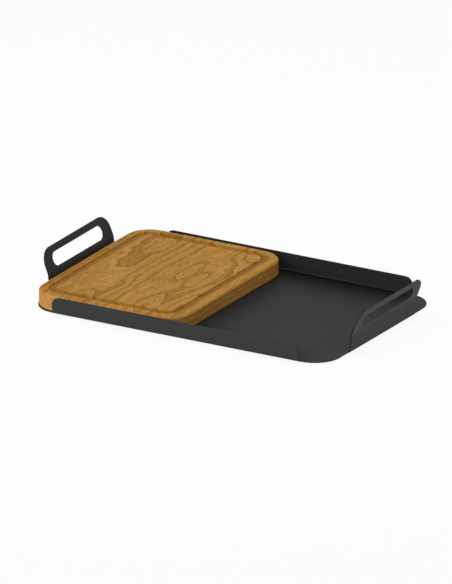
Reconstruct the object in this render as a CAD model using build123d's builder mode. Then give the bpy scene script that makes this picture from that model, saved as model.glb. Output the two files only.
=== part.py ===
from build123d import *
import os

# Serving tray bent from one steel sheet, with a wooden cutting board that slides along it.
# Millimetres. The origin is on the table below the tray's centre: +X along the long side,
# +Y to the back, +Z up. The board rests at the tray's left end.

# Sheet
sheet = 2.0
bend_inner_radius = 0.8
bend_outer_radius = bend_inner_radius + sheet

# Tray floor, measured from bend to bend
tray_length = 537.0
tray_width = 349.0
tray_corner_radius = 44.0

# Long side flanges, which stop a little before the floor's corners begin
flange_height = 28.0
flange_lean = 7.0
flange_corner_radius = 14.0
flange_end_relief = 1.5
flange_length = tray_length - 2 * (tray_corner_radius + flange_end_relief)

# Handles: a web stands on the floor's short side and a grip leans further out
handle_width = 203.0
web_height = 31.0
web_lean = 7.0
grip_length = 38.5
grip_lean = 21.0
grip_corner_radius = 25.0
slot_length = 155.0
slot_height = 23.0
slot_top_rim = 11.0

# Cutting board
board_thickness = 26.0
board_length = 268.0
board_side_gap = 1.0
board_end_gap = 1.5
board_top_round = 4.0
board_bottom_round = 2.0
board_width = tray_width - 2 * board_side_gap
board_corner_radius = tray_corner_radius - 2 * board_side_gap

# Juice groove with a flat bed and rounded sides; its middle line lies inside the board's edge
groove_width = 13.0
groove_depth = 4.0
groove_inset = 21.0
groove_corner_radius = board_corner_radius - groove_inset

# Non-slip pads under the floor's corners
pad_diameter = 16.0
pad_height = 2.5
pad_inset = 40.0
pad_edge_round = 0.8

# Levels, and how far a bent strip's root reaches into the floor it is joined to
underside_level = pad_height
floor_level = underside_level + sheet
root_lap = 4.0


def free_corners(strip):
    """The two short edges through the sheet at a bent strip's free end."""
    through_sheet = strip.edges().filter_by(lambda edge: abs(edge.length - sheet) < 0.001)
    return through_sheet.group_by(Axis.Z)[-1]


# Flange on the back edge: the sheet's bent section along its whole length, free corners rounded
with BuildPart() as flange:
    with BuildSketch(Plane.YZ):
        with BuildLine():
            root = Line((tray_width / 2 - root_lap, underside_level), (tray_width / 2, underside_level))
            bend = JernArc(root @ 1, root % 1, bend_outer_radius, 90 - flange_lean)
            rise = underside_level + flange_height - (bend @ 1).Y
            PolarLine(bend @ 1, rise, direction=bend % 1, length_mode=LengthMode.VERTICAL)
            offset(amount=sheet, side=Side.LEFT)
        make_face()
    extrude(amount=flange_length / 2, both=True)
    fillet(free_corners(flange.part), flange_corner_radius)

# Handle on the right edge: two bends, rounded free corners and a long hand slot
with BuildPart() as handle:
    with BuildSketch(Plane.XZ):
        with BuildLine():
            root = Line((tray_length / 2 - root_lap, underside_level), (tray_length / 2, underside_level))
            bend = JernArc(root @ 1, root % 1, bend_outer_radius, 90 - web_lean)
            rise = underside_level + web_height - (bend @ 1).Y
            web = PolarLine(bend @ 1, rise, direction=bend % 1, length_mode=LengthMode.VERTICAL)
            crease = JernArc(web @ 1, web % 1, bend_inner_radius, web_lean - grip_lean)
            grip = PolarLine(crease @ 1, grip_length, direction=crease % 1)
            offset(amount=sheet, side=Side.LEFT)
        make_face()
    extrude(amount=handle_width / 2, both=True)
    fillet(free_corners(handle.part), grip_corner_radius)
    grip_foot, grip_top = (Plane.XZ.from_local_coords(grip @ end) for end in (0, 1))
    grip_up = (grip_top - grip_foot).normalized()
    slot_centre = grip_top - grip_up * (slot_top_rim + slot_height / 2)
    with BuildSketch(Plane(slot_centre, x_dir=(0, 1, 0), z_dir=Vector(0, 1, 0).cross(grip_up))):
        SlotOverall(slot_length, slot_height)
    extrude(amount=2 * sheet, both=True, mode=Mode.SUBTRACT)

# Tray: floor, both flanges and both handles in one piece of sheet
with BuildPart() as tray_sheet:
    with BuildSketch(Plane.XY.offset(underside_level)):
        RectangleRounded(tray_length, tray_width, tray_corner_radius)
    extrude(amount=sheet)
    add(flange.part)
    mirror(flange.part, about=Plane.XZ)
    add(handle.part)
    mirror(handle.part, about=Plane.YZ)

# Cutting board, resting on the floor at the left end, with its juice groove
board_centre_x = (board_length - tray_length) / 2 + board_end_gap
board_plane = Plane((board_centre_x, 0, floor_level))
board_top_plane = board_plane.offset(board_thickness)
with BuildPart() as cutting_board:
    with BuildSketch(board_plane):
        RectangleRounded(board_length, board_width, board_corner_radius)
    extrude(amount=board_thickness)
    fillet(cutting_board.faces().sort_by(Axis.Z)[-1].edges(), board_top_round)
    fillet(cutting_board.faces().sort_by(Axis.Z)[0].edges(), board_bottom_round)
    groove_x = board_length / 2 - groove_inset
    groove_y = board_width / 2 - groove_inset
    with BuildLine(board_top_plane) as groove_path:
        FilletPolyline(
            (groove_x, groove_y), (groove_x, -groove_y), (-groove_x, -groove_y), (-groove_x, groove_y),
            radius=groove_corner_radius, close=True
        )
    groove_start = groove_path.line @ 0
    groove_heading = groove_path.line % 0
    across_groove = groove_heading.cross(Vector(0, 0, 1))
    with BuildSketch(Plane(groove_start, x_dir=across_groove, z_dir=groove_heading)):
        SlotOverall(groove_width, 2 * groove_depth)
    sweep(path=groove_path.line, mode=Mode.SUBTRACT)

# Four pads with rounded lower edges, one near each corner of the floor
with BuildPart() as non_slip_pads:
    with BuildSketch():
        with GridLocations(tray_length - 2 * pad_inset, tray_width - 2 * pad_inset, 2, 2):
            Circle(pad_diameter / 2)
    extrude(amount=pad_height)
    fillet(non_slip_pads.faces().group_by(Axis.Z)[0].edges(), pad_edge_round)

tray_sheet.part.label = "tray_sheet"
cutting_board.part.label = "cutting_board"
non_slip_pads.part.label = "non_slip_pads"

os.makedirs("parts", exist_ok=True)
export_step(tray_sheet.part, "parts/tray_sheet.step")
export_step(cutting_board.part, "parts/cutting_board.step")
export_step(non_slip_pads.part, "parts/non_slip_pads.step")
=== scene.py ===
from math import cos, radians, sin

import bpy
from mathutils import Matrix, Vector


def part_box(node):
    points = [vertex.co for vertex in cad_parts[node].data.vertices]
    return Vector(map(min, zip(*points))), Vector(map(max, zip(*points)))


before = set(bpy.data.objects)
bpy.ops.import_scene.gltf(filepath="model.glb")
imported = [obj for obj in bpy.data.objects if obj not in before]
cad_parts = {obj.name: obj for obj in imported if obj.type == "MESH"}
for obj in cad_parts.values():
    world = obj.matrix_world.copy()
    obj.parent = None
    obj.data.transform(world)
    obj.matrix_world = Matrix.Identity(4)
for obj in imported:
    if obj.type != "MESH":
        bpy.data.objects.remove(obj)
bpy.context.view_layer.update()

# A bent steel serving tray with a wooden cutting board lying in its left half.
# Metres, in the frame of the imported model: +X along the tray, +Y to the back, +Z up.

scene = bpy.context.scene
scene.view_settings.view_transform = "Standard"

# Camera: orthographic, to the right of the front and above. In the picture, the middle of the tray's
# underside lies PIXELS_RIGHT of the middle and PIXELS_BELOW it.
AZIMUTH = radians(30)
ELEVATION = radians(20)
CAMERA_DISTANCE = 3.0
IMAGE_HEIGHT = 584
PIXELS_PER_METRE = 639.4
PIXELS_RIGHT = 6.4
PIXELS_BELOW = 12.2

tray_low, tray_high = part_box("tray_sheet")
board_low, board_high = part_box("cutting_board")
underside = (tray_low + tray_high) / 2
underside.z = tray_low.z
to_camera = Vector((sin(AZIMUTH) * cos(ELEVATION), -cos(AZIMUTH) * cos(ELEVATION), sin(ELEVATION)))
image_right = Vector((cos(AZIMUTH), sin(AZIMUTH), 0.0))
image_up = to_camera.cross(image_right)
aim = underside + (image_up * PIXELS_BELOW - image_right * PIXELS_RIGHT) / PIXELS_PER_METRE

camera_data = bpy.data.cameras.new("photo_camera")
camera_data.type = "ORTHO"
camera_data.ortho_scale = IMAGE_HEIGHT / PIXELS_PER_METRE
camera = bpy.data.objects.new("photo_camera", camera_data)
scene.collection.objects.link(camera)
camera.location = aim + to_camera * CAMERA_DISTANCE
camera.rotation_euler = to_camera.to_track_quat("Z", "Y").to_euler()
scene.camera = camera


def srgb(red, green, blue):
    """A colour written in screen values of 0 to 255, as the linear colour that shaders take."""
    linear = []
    for value in (red, green, blue):
        share = value / 255
        linear.append(share / 12.92 if share <= 0.04045 else ((share + 0.055) / 1.055) ** 2.4)
    return (*linear, 1.0)


BLACK = (0.0, 0.0, 0.0, 1.0)
WHITE = (1.0, 1.0, 1.0, 1.0)


class Number:
    """A number that a shader node puts out. Sums, products and comparisons with it are nodes too."""

    def __init__(self, shading, socket):
        self.shading = shading
        self.socket = socket

    def __add__(self, other):
        return self.shading.math("ADD", self, other)

    def __sub__(self, other):
        return self.shading.math("SUBTRACT", self, other)

    def __rsub__(self, other):
        return self.shading.math("SUBTRACT", other, self)

    def __mul__(self, other):
        return self.shading.math("MULTIPLY", self, other)

    def __pow__(self, power):
        return self.shading.math("POWER", self, power)

    def __abs__(self):
        return self.shading.math("ABSOLUTE", self)

    def __lt__(self, limit):
        return self.shading.math("LESS_THAN", self, limit)

    def __gt__(self, limit):
        return self.shading.math("GREATER_THAN", self, limit)


# Where nearly all values of a noise lie, and their mean
NOISE_RANGE = (0.3, 0.7)
NOISE_MEAN = 0.5


class Shading:
    """The nodes of a material or of the world, with short calls that add and link them."""

    def __init__(self, owner, output="ShaderNodeOutputMaterial"):
        owner.use_nodes = True
        self.owner = owner
        self.tree = owner.node_tree
        self.tree.nodes.clear()
        self.output = self.tree.nodes.new(output)

    def add(self, kind, inputs=None, **settings):
        """Adds a node; each input is a plain value, a Number or a socket of another node."""
        node = self.tree.nodes.new(kind)
        for key, value in settings.items():
            setattr(node, key, value)
        for key, value in (inputs or {}).items():
            if isinstance(value, Number):
                value = value.socket
            if isinstance(value, bpy.types.NodeSocket):
                self.tree.links.new(value, node.inputs[key])
            else:
                node.inputs[key].default_value = value
        return node

    def math(self, operation, *values):
        node = self.add("ShaderNodeMath", dict(enumerate(values)), operation=operation)
        return Number(self, node.outputs[0])

    def clamp(self, value):
        """The value, kept within 0 to 1."""
        return Number(self, self.add("ShaderNodeClamp", {"Value": value}).outputs[0])

    def remap(self, value, low, high, to_low, to_high, smooth=False, clamp=True):
        """Carries low to high over into to_low to to_high."""
        inputs = {"Value": value, "From Min": low, "From Max": high, "To Min": to_low, "To Max": to_high}
        kind = "SMOOTHSTEP" if smooth else "LINEAR"
        node = self.add("ShaderNodeMapRange", inputs, interpolation_type=kind, clamp=clamp)
        return Number(self, node.outputs[0])

    def ridge(self, share, foot, crest):
        """Rises smoothly from 0 to 1 while the share goes from foot to crest, and falls from there to 1."""
        rise = self.remap(share, foot, crest, 0.0, 1.0, smooth=True)
        return rise * self.remap(share, crest, 1.0, 1.0, 0.0, smooth=True)

    def noise(self, point, scale, detail, roughness):
        """A noise between 0 and 1, with about as many waves to each unit of the point as the scale says."""
        inputs = {"Vector": point, "Scale": scale, "Detail": detail, "Roughness": roughness}
        return Number(self, self.add("ShaderNodeTexNoise", inputs).outputs[0])

    def spread(self, noise, low, high):
        """A noise, stretched over low to high."""
        return self.remap(noise, *NOISE_RANGE, low, high)

    def vector(self, operation, *values):
        node = self.add("ShaderNodeVectorMath", dict(enumerate(values)), operation=operation)
        return node.outputs["Vector"]

    def dot(self, first, second):
        node = self.add("ShaderNodeVectorMath", {0: first, 1: second}, operation="DOT_PRODUCT")
        return Number(self, node.outputs["Value"])

    def axes(self, vector):
        """A vector's X, Y and Z."""
        node = self.add("ShaderNodeSeparateXYZ", {0: vector})
        return [Number(self, socket) for socket in node.outputs]

    def place(self, scale=(1.0, 1.0, 1.0)):
        """The point on the object in metres, times the scale."""
        return self.vector("MULTIPLY", self.add("ShaderNodeTexCoord").outputs["Object"], scale)

    def normal(self):
        return self.add("ShaderNodeNewGeometry").outputs["True Normal"]

    def squares(self, vector):
        """A normal's squares tell how much its face looks along X, Y and Z, and add up to 1."""
        return self.vector("MULTIPLY", vector, vector)

    def mix_colours(self, factor, first, second):
        """The first colour at a factor of 0 and the second at 1."""
        # Several sockets of this node share a name: its colours are inputs 6 and 7 and output 2
        node = self.add("ShaderNodeMix", {"Factor": factor, 6: first, 7: second}, data_type="RGBA")
        return node.outputs[2]

    def bump(self, height, strength, distance):
        inputs = {"Height": height, "Strength": strength, "Distance": distance}
        return self.add("ShaderNodeBump", inputs).outputs[0]

    def seen_as_background(self):
        """1 where the camera sees the studio, straight or in metal or glass, and 0 where it only lights."""
        ray = self.add("ShaderNodeLightPath").outputs
        seen = self.math("ADD", ray["Is Camera Ray"], ray["Is Glossy Ray"])
        return self.clamp(seen + ray["Is Transmission Ray"])

    def surface(self, kind, inputs):
        """Adds the shader that comes last, and returns the material or world."""
        shader = self.add(kind, inputs)
        self.tree.links.new(shader.outputs[0], self.output.inputs["Surface"])
        return self.owner

    def solid(self, colour, roughness, gloss, bump):
        """The material of a solid thing."""
        return self.surface("ShaderNodeBsdfPrincipled", {
            "Base Color": colour, "Roughness": roughness, "Specular IOR Level": gloss, "Normal": bump})

    def mix_shaders(self, factor, first, second):
        """The material or world with the first shader at a factor of 0 and the second at 1."""
        return self.surface("ShaderNodeMixShader", {0: factor, 1: first.outputs[0], 2: second.outputs[0]})


# The coat's colour at a tone of 1, its gloss, and what its grain and clouds do to its roughness and tone
COAT_COLOUR = srgb(70, 70, 71)
COAT_GLOSS = 0.028
SPECKLE_ROUGHNESS = (0.36, 0.44)
SPECKLE_TONE = (0.90, 1.10)
CLOUD_TONE = (-0.03, 0.03)
# The tone of faces square to X, Y and Z is painted shade: the tray's inside, its floor above all, is
# painted darker than the outside and the cut edges. A face is inside where it looks to MIDDLE.
SHADED_TONE_INSIDE = (0.56, 0.42, 0.38)
SHADED_TONE_OUTSIDE = (0.85, 0.72, 0.60)
MIDDLE = (0.0, 0.0, 0.02)
# Beside the flanges the floor is painted darker, a painted shade and reflection of the flanges: by how much
# at most, between which distances from the tray's middle line this grows, faster and faster, and between
# which distances along it this ends
FLANGE_SHADE_LOSS = 0.29
FLANGE_SHADE_ACROSS = (0.080, 0.172)
FLANGE_SHADE_ALONG = (0.205, 0.240)
# A painted highlight on the inside of the bends: how high above the floor's top it reaches, and its gain.
# It is brightest where the slope is 45 degrees, and there the tone gains a quarter of the gain.
BEND_HIGHLIGHT_RISE = 0.0011
BEND_HIGHLIGHT_GAIN = 2.8
# The cut edges at the sides of the handles and at the ends of the flanges are painted darker
# by this share of their tone, a painted shade.
# The handles lie within HANDLES_WITHIN of the tray's middle line and the flanges further out.
CUT_EDGE_SHADE = 0.6
HANDLES_WITHIN = 0.145


def powder_coat():
    """Fine-grained powder coat on the steel, a little uneven in tone, with painted shade and highlights."""
    nodes = Shading(bpy.data.materials.new("powder_coat"))
    point = nodes.place()
    speckle = nodes.noise(point, scale=1400.0, detail=2.0, roughness=0.6)
    cloud = nodes.noise(point, scale=9.0, detail=3.0, roughness=0.5)
    uneven = nodes.spread(speckle, *SPECKLE_TONE) + nodes.spread(cloud, *CLOUD_TONE)

    normal = nodes.normal()
    facing = nodes.squares(normal)
    inside = nodes.dot(normal, nodes.vector("SUBTRACT", MIDDLE, point)) > 0.0
    # The tone by the way each face looks is painted shade, darker on the tray's inside
    shaded_tone_inside = nodes.dot(facing, SHADED_TONE_INSIDE)
    shaded_tone_outside = nodes.dot(facing, SHADED_TONE_OUTSIDE)
    tone = inside * (shaded_tone_inside - shaded_tone_outside) + shaded_tone_outside

    facing_x, facing_y, facing_z = nodes.axes(facing)
    along, across, height = nodes.axes(nodes.vector("ABSOLUTE", point))
    # Painted shade and reflection of the flanges, on the floor beside them
    flange_shade = nodes.remap(across, *FLANGE_SHADE_ACROSS, 0.0, 1.0) ** 2.0
    flange_shade = flange_shade * nodes.remap(along, *FLANGE_SHADE_ALONG, 1.0, 0.0) * facing_z * inside
    floor_top = board_low.z
    # Painted highlight on the inside of the bends
    bend_highlight = facing_z * (1.0 - facing_z) * (height < floor_top + BEND_HIGHLIGHT_RISE) * inside
    tone = tone - flange_shade * FLANGE_SHADE_LOSS + bend_highlight * BEND_HIGHLIGHT_GAIN

    on_flange = across > HANDLES_WITHIN
    # Painted shade on the cut edges
    cut_edge = on_flange * (facing_x - facing_y) + facing_y
    tone = tone * (1.0 - cut_edge * CUT_EDGE_SHADE)

    colour = nodes.mix_colours(tone * uneven, BLACK, COAT_COLOUR)
    roughness = nodes.spread(speckle, *SPECKLE_ROUGHNESS)
    return nodes.solid(colour, roughness, COAT_GLOSS, nodes.bump(speckle, strength=0.25, distance=0.0003))


# The board's figure is laid out in millimetres
PER_METRE = 1000.0
board_middle = (board_low + board_high) / 2 * PER_METRE
board_half = (board_high - board_low) / 2 * PER_METRE
board_top = board_high.z * PER_METRE

# The board's growth surfaces, counted as rings and read from its figure: x and the count there
RING_COUNTS = (
    (-267, 5.4), (-236, 3.2), (-200, 3.2), (-176, 3.3), (-158, 4.1), (-148, 4.8), (-132, 5.8), (-125, 6.1),
    (-85, 6.2), (-45, 6.4), (-27, 7.0), (-16, 9.05), (1, 9.25),
)
# How much the count grows with height, in rings to the millimetre, at the board's middle and at the tray's
RING_SLOPE = (0.02, 0.10)
# Where the growth surfaces bulge or sink like bells: height in rings, middle x and y, reach along x and y.
# All have their middle at the board's top and the same reach in depth.
BULGE_DEPTH = 45.0
BULGES = (
    (-0.9, -200, 115, 24, 60), (-0.6, -183, 115, 8, 25), (-0.5, -197, 20, 20, 30), (0.4, -204, 100, 4, 40),
    (1.7, -185, -150, 13, 32), (0.5, -150, 15, 18, 65), (-0.5, -154, -76, 13, 24), (0.3, -160, -32, 9, 20),
    (0.3, -120, -30, 9, 50), (-0.5, -52, 95, 14, 18), (1.4, -95, 30, 13, 52), (1.3, -66, 3, 10, 38),
    (1.6, -78, -155, 19, 82), (1.8, -43, 142, 24, 56), (1.8, -30, -120, 19, 74),
)
# How far the growth surfaces wander, in rings for a step of 1 in the noise: in waves, and between fibres
WANDER = 0.50
FIBRE_WANDER = 0.20

# Each ring darkens towards its late wood, and so does each fine line in it: at which shares of the ring or
# line this begins and is darkest, and how dark it gets. The first share of a ring is paler.
RING_SHARES = (0.45, 0.95)
RING_DARKNESS = 0.60
FINE_LINES = 4.0
LINE_SHARES = (0.25, 0.85)
LINE_DARKNESS = 0.40
FIRST_SHARE = 0.12
FIRST_PALENESS = 0.16
# Between which values of their noise pores open, and what pores, fibres and clouds add to the darkness
PORES_OPEN = (0.60, 0.72)
PORE_DARKNESS = 0.22
FIBRE_DARKNESS = (-0.16, 0.38)
CLOUD_DARKNESS = (-0.03, 0.19)

# What is nearer the board's edge than RIM, or deeper than BELOW_GROOVE, belongs to its sides
RIM = 13.5
BELOW_GROOVE = 6.0
# How much stronger the figure is where the sides are square to X, to Y and to Z, and how much lighter
# they are painted, a painted light
SIDE_CONTRAST = (1.0, 0.4, 0.0)
SIDE_PAINTED_LIGHT = (0.22, 0.42, 0.0)
# Between which depths the juice groove is painted darker, a painted shade in its hollow, and how far
GROOVE_SHADE_DEPTHS = (0.2, 1.6)
GROOVE_SHADE = 0.45

EARLY_WOOD = srgb(187, 138, 66)
LATE_WOOD = srgb(140, 91, 12)
# The colour of the painted shade in the groove
GROOVE_SHADE_WOOD = srgb(122, 84, 34)
# The colour of the painted light on the sides
SIDE_LIGHT_WOOD = srgb(226, 170, 98)
EARLY_ROUGHNESS = 0.54
LATE_ROUGHNESS = 0.46
WOOD_GLOSS = 0.04


def ring_count(nodes, point):
    """The count of growth surfaces at a point of the board, before they wander."""
    x, y, z = nodes.axes(point)
    slope = nodes.remap(x, board_middle.x, 0.0, *RING_SLOPE, clamp=False)
    rings = (z - board_top) * slope + RING_COUNTS[0][1]
    for (from_x, from_count), (to_x, to_count) in zip(RING_COUNTS, RING_COUNTS[1:]):
        rings = rings + nodes.remap(x, from_x, to_x, 0.0, to_count - from_count)
    for height, middle_x, middle_y, reach_x, reach_y in BULGES:
        away = nodes.vector("SUBTRACT", point, (middle_x, middle_y, board_top))
        away = nodes.vector("DIVIDE", away, (reach_x, reach_y, BULGE_DEPTH))
        rings = rings + nodes.math("EXPONENT", nodes.dot(away, away) * -1.0) * height
    return rings


def oiled_wood():
    """Flat-sawn oiled wood: each face shows the growth surfaces that it cuts. The fibres run along Y."""
    nodes = Shading(bpy.data.materials.new("oiled_wood"))
    point = nodes.place((PER_METRE, PER_METRE, PER_METRE))
    # The noises are drawn out along Y, as the fibres are
    wander = nodes.noise(nodes.place((1.0, 0.36, 1.0)), scale=120.0, detail=3.0, roughness=0.55)
    fibre = nodes.noise(nodes.place((1.0, 0.12, 1.0)), scale=430.0, detail=3.0, roughness=0.6)
    cloud = nodes.noise(nodes.place((1.0, 0.25, 1.0)), scale=22.0, detail=2.0, roughness=0.5)
    pores = nodes.noise(nodes.place((1.0, 0.05, 1.0)), scale=1500.0, detail=1.0, roughness=0.5)

    rings = ring_count(nodes, point) + (wander - NOISE_MEAN) * WANDER + (fibre - NOISE_MEAN) * FIBRE_WANDER
    ring_share = nodes.math("FRACT", rings)
    line_share = nodes.math("FRACT", rings * FINE_LINES)
    dark = nodes.ridge(ring_share, *RING_SHARES) * RING_DARKNESS
    dark = dark + nodes.ridge(line_share, *LINE_SHARES) * LINE_DARKNESS
    dark = dark - nodes.remap(ring_share, 0.0, FIRST_SHARE, FIRST_PALENESS, 0.0, smooth=True)
    dark = dark + nodes.remap(pores, *PORES_OPEN, 0.0, PORE_DARKNESS, smooth=True)
    dark = dark + nodes.spread(fibre, *FIBRE_DARKNESS) + nodes.spread(cloud, *CLOUD_DARKNESS)
    dark = nodes.clamp(dark)

    x, y, z = nodes.axes(point)
    from_end = board_half.x - abs(x - board_middle.x)
    from_side = board_half.y - abs(y - board_middle.y)
    depth = board_top - z
    on_top = (nodes.math("MINIMUM", from_end, from_side) > RIM) * (depth < BELOW_GROOVE)
    on_side = 1.0 - on_top
    facing = nodes.squares(nodes.normal())
    # Painted shade in the juice groove, growing with its depth
    groove_shade = nodes.remap(depth, *GROOVE_SHADE_DEPTHS, 0.0, GROOVE_SHADE, smooth=True) * on_top
    dark = dark + dark * nodes.dot(facing, SIDE_CONTRAST) * on_side
    colour = nodes.mix_colours(dark, EARLY_WOOD, LATE_WOOD)
    colour = nodes.mix_colours(groove_shade, colour, GROOVE_SHADE_WOOD)
    # Painted light: the sides are painted paler than the top
    colour = nodes.mix_colours(nodes.dot(facing, SIDE_PAINTED_LIGHT) * on_side, colour, SIDE_LIGHT_WOOD)
    roughness = nodes.remap(dark, 0.0, 1.0, EARLY_ROUGHNESS, LATE_ROUGHNESS)
    return nodes.solid(colour, roughness, WOOD_GLOSS, nodes.bump(fibre, strength=0.12, distance=0.0002))


def pad_rubber():
    """Matt dark rubber with a faint moulded grain."""
    nodes = Shading(bpy.data.materials.new("pad_rubber"))
    grain = nodes.noise(nodes.place(), scale=900.0, detail=2.0, roughness=0.5)
    colour = nodes.mix_colours(grain, srgb(30, 30, 30), srgb(44, 44, 44))
    bump = nodes.bump(grain, strength=0.2, distance=0.0002)
    return nodes.solid(colour, roughness=0.8, gloss=0.3, bump=bump)


def dress(node, material):
    """Gives a CAD node its finish."""
    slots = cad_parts[node].data.materials
    for index in range(len(slots)):
        slots[index] = material


dress("tray_sheet", powder_coat())
dress("cutting_board", oiled_wood())
dress("non_slip_pads", pad_rubber())

# The floor's own colour, and the share of it that the camera sees as white paper instead
FLOOR_COLOUR = (0.88, 0.88, 0.88, 1.0)
PAPER_SHARE = 0.91


def studio_floor():
    """A white floor that the camera sees as white paper with only a faint trace of the shadow."""
    nodes = Shading(bpy.data.materials.new("studio_floor"))
    lit = nodes.add("ShaderNodeBsdfDiffuse", {"Color": FLOOR_COLOUR, "Roughness": 0.0})
    paper = nodes.add("ShaderNodeEmission", {"Color": WHITE, "Strength": 1.0})
    return nodes.mix_shaders(nodes.seen_as_background() * PAPER_SHARE, lit, paper)


bpy.ops.mesh.primitive_plane_add(size=12.0, location=(0.0, 0.0, 0.0))
floor = bpy.context.object
floor.name = "studio_floor"
floor.data.materials.append(studio_floor())

# How bright the studio is to the right, left, back, front and above; the camera sees plain white
STUDIO = {"right": 0.60, "left": 0.24, "back": 0.32, "front": 1.75, "above": 0.46}


def studio_world():
    """A soft white room that is brighter on some sides than on others."""
    nodes = Shading(bpy.data.worlds.new("studio"), "ShaderNodeOutputWorld")
    x, y, z = nodes.axes(nodes.add("ShaderNodeTexCoord").outputs["Generated"])
    brightness = z * z * STUDIO["above"]
    for side, towards in (("right", x), ("left", x * -1.0), ("back", y), ("front", y * -1.0)):
        facing = nodes.math("MAXIMUM", towards, 0.0)
        brightness = brightness + facing * facing * STUDIO[side]
    light = nodes.add("ShaderNodeBackground", {"Color": WHITE, "Strength": brightness})
    white = nodes.add("ShaderNodeBackground", {"Color": WHITE, "Strength": 1.0})
    return nodes.mix_shaders(nodes.seen_as_background(), light, white)


scene.world = studio_world()


def softbox(name, location, power, size):
    """A square area lamp that looks at the middle of the tray."""
    lamp = bpy.data.lights.new(name, "AREA")
    lamp.energy = power
    lamp.size = size
    holder = bpy.data.objects.new(name, lamp)
    holder.location = location
    holder.rotation_euler = Vector(location).to_track_quat("Z", "Y").to_euler()
    scene.collection.objects.link(holder)


softbox("key_from_the_left", location=(-2.0, -1.2, 1.0), power=11.0, size=1.2)
softbox("overhead", location=(0.0, 0.0, 2.2), power=15.5, size=1.2)
